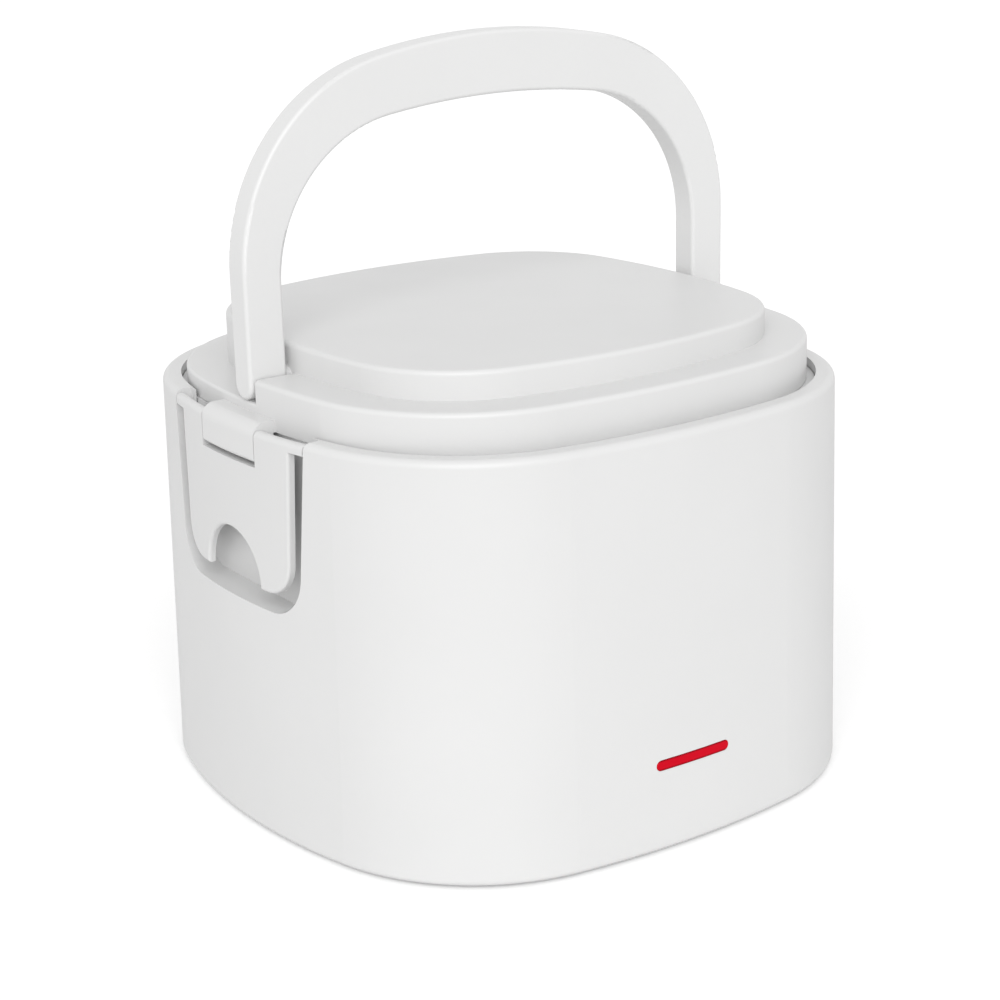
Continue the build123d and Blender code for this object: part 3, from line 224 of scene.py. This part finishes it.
def raise_bump(tree, pattern, depth):
    """A relief of that depth, in metres, that follows the pattern."""
    bump = tree.nodes.new("ShaderNodeBump")
    bump.inputs["Strength"].default_value = 1.0
    bump.inputs["Distance"].default_value = depth
    tree.links.new(pattern, bump.inputs["Height"])
    tree.links.new(bump.outputs["Normal"], tree.nodes["Principled BSDF"].inputs["Normal"])


print("a finish takes noise, two tones, an uneven gloss and a bump")

# %% [markdown]
# ## A recipe for moulded plastic
# Injection-moulded plastic is not one flat colour. Its colour is faintly mottled, its gloss wanders
# a little where the mould's polish is uneven, and the skin has a fine waviness, like the peel of an
# orange. Each kind of skin is a depth and a size of that waviness, in metres.

# %% Make moulded plastic
MOTTLE_SCALE = 18.0
MOTTLE_DETAIL = 3.0
MOTTLE_START = 0.3
MOTTLE_END = 0.7
POLISH_SCALE = 55.0
POLISH_DETAIL = 2.0
POLISH_SPREAD = 0.12
GRAIN_DETAIL = 4.0


def plastic(name, color, roughness, skin, mottle=0.012, specular=0.5):
    """Moulded plastic: a faint mottle in the colour, an uneven gloss and a fine waviness."""
    material = bpy.data.materials.new(name)
    material.use_nodes = True
    tree = material.node_tree
    tree.nodes["Principled BSDF"].inputs["Specular IOR Level"].default_value = specular
    place = tree.nodes.new("ShaderNodeTexCoord").outputs["Object"]

    dark = [value * (1 - mottle) for value in color]
    light = [min(value * (1 + mottle), 1.0) for value in color]
    cloud = noise(tree, place, MOTTLE_SCALE, MOTTLE_DETAIL)
    shade(tree, cloud, dark, light, MOTTLE_START, MOTTLE_END)

    polish = noise(tree, place, POLISH_SCALE, POLISH_DETAIL)
    spread_gloss(tree, polish, roughness * (1 - POLISH_SPREAD), roughness * (1 + POLISH_SPREAD))

    grain_depth, grain_size = skin
    raise_bump(tree, noise(tree, place, 1.0 / grain_size, GRAIN_DETAIL), grain_depth)
    return material


print("plastic is ready")

# %% [markdown]
# ## The plastics of the warmer
# The white shell pieces differ by a hair: the latch white is a little darker than the housing and
# lid. The handle white is a little lighter, which is painted light that brightens the handle beyond
# what this light gives it. What lies inside has a duller, rougher skin. Mouldings that carry heat
# or current are black phenolic, a ceramic or resin.

# %% Mix the plastics
POLISHED_SKIN = (0.000012, 0.0009)
DULL_SKIN = (0.00003, 0.0006)
GLAZED_SKIN = (0.000005, 0.002)

housing_white = plastic("housing_white", (0.700, 0.700, 0.698), 0.38, POLISHED_SKIN)
lid_white = plastic("lid_white", (0.700, 0.700, 0.698), 0.40, POLISHED_SKIN)
# painted light: the handle white is raised above the shell white so that the handle comes out
# brighter than this light leaves it
handle_white_painted_light = plastic("handle_white_painted_light", (0.724, 0.724, 0.722), 0.36, POLISHED_SKIN)
latch_white = plastic("latch_white", (0.688, 0.688, 0.686), 0.38, POLISHED_SKIN)
inner_grey = plastic("inner_grey", (0.66, 0.66, 0.66), 0.50, DULL_SKIN)
base_white = plastic("base_white", (0.72, 0.72, 0.725), 0.55, DULL_SKIN)
frosted_clear = plastic("frosted_clear", (0.74, 0.76, 0.77), 0.45, (0.00002, 0.0008))
socket_black = plastic("socket_black", (0.02, 0.02, 0.021), 0.42, (0.00002, 0.0007), mottle=0.05)
phenolic_black = plastic("phenolic_black", (0.025, 0.022, 0.02), 0.5, DULL_SKIN, mottle=0.05)
ceramic_cream = plastic("ceramic_cream", (0.68, 0.63, 0.54), 0.7, (0.00006, 0.0005), mottle=0.04)
board_green = plastic("board_green", (0.02, 0.12, 0.05), 0.4, (0.00002, 0.0010), mottle=0.08)
foam_white = plastic("foam_white", (0.75, 0.75, 0.71), 0.9, (0.00025, 0.0016), mottle=0.03)
resin_cream = plastic("resin_cream", (0.75, 0.72, 0.62), 0.15, GLAZED_SKIN)
fuse_sleeve = plastic("fuse_sleeve", (0.70, 0.70, 0.66), 0.2, GLAZED_SKIN)
print("materials made:", len(bpy.data.materials))

# %% [markdown]
# ## Rubber and silicone
# Seals and feet are soft. Soft rubber has almost no highlight, a broad sheen at grazing angles and
# a dusty, uneven tone.

# %% Make rubber
RUBBER_SKIN = (0.00004, 0.0004)
RUBBER_MOTTLE = 0.05
RUBBER_SPECULAR = 0.3
SHEEN_WEIGHT = 0.25
SHEEN_ROUGHNESS = 0.5


def rubber(name, color, roughness):
    """Rubber: the plastic recipe with a dustier tone, a weak highlight and a sheen."""
    material = plastic(name, color, roughness, RUBBER_SKIN, RUBBER_MOTTLE, RUBBER_SPECULAR)
    shader = material.node_tree.nodes["Principled BSDF"]
    shader.inputs["Sheen Weight"].default_value = SHEEN_WEIGHT
    shader.inputs["Sheen Roughness"].default_value = SHEEN_ROUGHNESS
    return material


silicone_pale = rubber("silicone_pale", (0.62, 0.62, 0.60), 0.62)
foot_black = rubber("foot_black", (0.03, 0.03, 0.03), 0.75)
sleeve_pale = rubber("sleeve_pale", (0.66, 0.65, 0.62), 0.55)
print("materials made:", len(bpy.data.materials))

# %% [markdown]
# ## Metals
# The container is deep-drawn steel with fine lines round its wall, the heating plate is turned
# aluminium, and screws and clamps are zinc plated. Each is a metallic shader whose tone, gloss and
# bump follow one noise, stretched along the way that the metal was worked, which is what makes
# metal look worked.

# %% Make worked metal
LINE_DETAIL = 3.0
LINE_SHADE = 0.93
METAL_SMOOTHEST = 0.75
METAL_ROUGHEST = 1.3


def metal(name, color, roughness, stretch=(1.0, 1.0, 1.0), line_size=0.0008, depth=0.00001):
    """Metal that follows fine lines, drawn out along the axes whose stretch is small."""
    material = bpy.data.materials.new(name)
    material.use_nodes = True
    tree = material.node_tree
    tree.nodes["Principled BSDF"].inputs["Metallic"].default_value = 1.0
    place = tree.nodes.new("ShaderNodeTexCoord").outputs["Object"]
    lay = tree.nodes.new("ShaderNodeMapping")
    lay.inputs["Scale"].default_value = stretch
    tree.links.new(place, lay.inputs["Vector"])

    lines = noise(tree, lay.outputs["Vector"], 1.0 / line_size, LINE_DETAIL)
    shade(tree, lines, [value * LINE_SHADE for value in color], color)
    spread_gloss(tree, lines, roughness * METAL_SMOOTHEST, roughness * METAL_ROUGHEST)
    raise_bump(tree, lines, depth)
    return material


drawn_steel = metal("drawn_steel", (0.66, 0.66, 0.67), 0.26, stretch=(0.04, 0.04, 1.0))
turned_aluminium = metal("turned_aluminium", (0.72, 0.72, 0.73), 0.34, line_size=0.0012)
sheet_zinc = metal("sheet_zinc", (0.58, 0.59, 0.61), 0.38, stretch=(1.0, 0.08, 1.0))
screw_zinc = metal("screw_zinc", (0.55, 0.56, 0.58), 0.30)
ground_steel = metal("ground_steel", (0.60, 0.60, 0.61), 0.22, stretch=(1.0, 1.0, 0.1))
bright_brass = metal("bright_brass", (0.78, 0.57, 0.24), 0.22)
print("materials made:", len(bpy.data.materials))

# %% [markdown]
# ## The red lamp lens
# The lens is clear red plastic. Its colour is full along its middle and darkens towards its top
# and bottom edges: that darkening is painted shade, standing in for the shadow along the edges
# where the lens meets the wall. The height above or below its middle line drives the painted shade,
# and a little noise keeps it from being even.

# %% Make the lens red
LENS_RED = (0.58, 0.001, 0.013)
LENS_ROUGHNESS = 0.30
LENS_SKIN = (0.000003, 0.003)
LENS_MOTTLE = 0.05
LENS_SPECULAR = 0.06
LENS_HEIGHT = 0.0249
LENS_HALF = 0.0015
LENS_UNSHADED_SHARE = 0.55
# painted shade: the lens colour is multiplied by this darker, bluer tint towards its top and bottom
# edges
LENS_PAINTED_SHADE_TINT = (0.30, 0.25, 0.45, 1)

lens_red = plastic("lens_red", LENS_RED, LENS_ROUGHNESS, LENS_SKIN, LENS_MOTTLE, LENS_SPECULAR)
lens_tree = lens_red.node_tree
lens_color = lens_tree.nodes["Principled BSDF"].inputs["Base Color"]
lens_tint = lens_color.links[0].from_socket
lens_place = lens_tree.nodes.new("ShaderNodeTexCoord")
lens_axes = lens_tree.nodes.new("ShaderNodeSeparateXYZ")
lens_off = lens_tree.nodes.new("ShaderNodeMath")
lens_off.operation = "SUBTRACT"
lens_off.inputs[1].default_value = LENS_HEIGHT
lens_away = lens_tree.nodes.new("ShaderNodeMath")
lens_away.operation = "ABSOLUTE"
# painted shade mask: zero near the middle line of the lens, one at its top and bottom edges
lens_painted_shade_mask = lens_tree.nodes.new("ShaderNodeMapRange")
lens_painted_shade_mask.inputs["From Min"].default_value = LENS_HALF * LENS_UNSHADED_SHARE
lens_painted_shade_mask.inputs["From Max"].default_value = LENS_HALF
lens_painted_shade_mix = lens_tree.nodes.new("ShaderNodeMix")
lens_painted_shade_mix.data_type = "RGBA"
lens_painted_shade_mix.blend_type = "MULTIPLY"
lens_painted_shade_mix.inputs["B"].default_value = LENS_PAINTED_SHADE_TINT
join_lens = lens_tree.links.new
join_lens(lens_place.outputs["Object"], lens_axes.inputs[0])
join_lens(lens_axes.outputs["Z"], lens_off.inputs[0])
join_lens(lens_off.outputs[0], lens_away.inputs[0])
join_lens(lens_away.outputs[0], lens_painted_shade_mask.inputs["Value"])
join_lens(lens_painted_shade_mask.outputs["Result"], lens_painted_shade_mix.inputs["Factor"])
join_lens(lens_tint, lens_painted_shade_mix.inputs["A"])
join_lens(lens_painted_shade_mix.outputs["Result"], lens_color)
print("the lens darkens", round(LENS_HALF * LENS_UNSHADED_SHARE * 1000, 2), "mm off its middle line")

# %% [markdown]
# ## Giving each piece its finish
# Each solid keeps its shape and gets the finish of what it is made of. A table from piece to
# material keeps all the choices in one place.

# %% Finish every solid
FINISHES = {
    "outer_housing": housing_white,
    "lid_cover": lid_white,
    "carry_handle": handle_white_painted_light,
    "latch_left": latch_white,
    "latch_right": latch_white,
    "heating_well": inner_grey,
    "lid_liner": inner_grey,
    "base_plate": base_white,
    "container_lid": frosted_clear,
    "food_container": drawn_steel,
    "container_seal": silicone_pale,
    "lid_seal": silicone_pale,
    "plate_seal": silicone_pale,
    "steam_valve": silicone_pale,
    "rubber_feet": foot_black,
    "heating_plate": turned_aluminium,
    "heating_element": ceramic_cream,
    "element_clamp": sheet_zinc,
    "heat_shield": sheet_zinc,
    "clamp_screws": screw_zinc,
    "base_screws": screw_zinc,
    "inlet_screws": screw_zinc,
    "board_screws": screw_zinc,
    "lid_screws": screw_zinc,
    "handle_pins": ground_steel,
    "latch_pins": ground_steel,
    "thermostat": phenolic_black,
    "thermal_fuse": fuse_sleeve,
    "power_inlet": socket_black,
    "inlet_pins": bright_brass,
    "indicator_lens": lens_red,
    "indicator_board": board_green,
    "indicator_lamps": resin_cream,
    "live_wires": sleeve_pale,
    "return_wires": sleeve_pale,
    "lamp_wires": sleeve_pale,
    "lid_insulation": foam_white,
}
for name, solid in nodes.items():
    for slot in solid.material_slots:
        slot.material = FINISHES[name]
print("finished", len(FINISHES), "of", len(nodes), "solids")
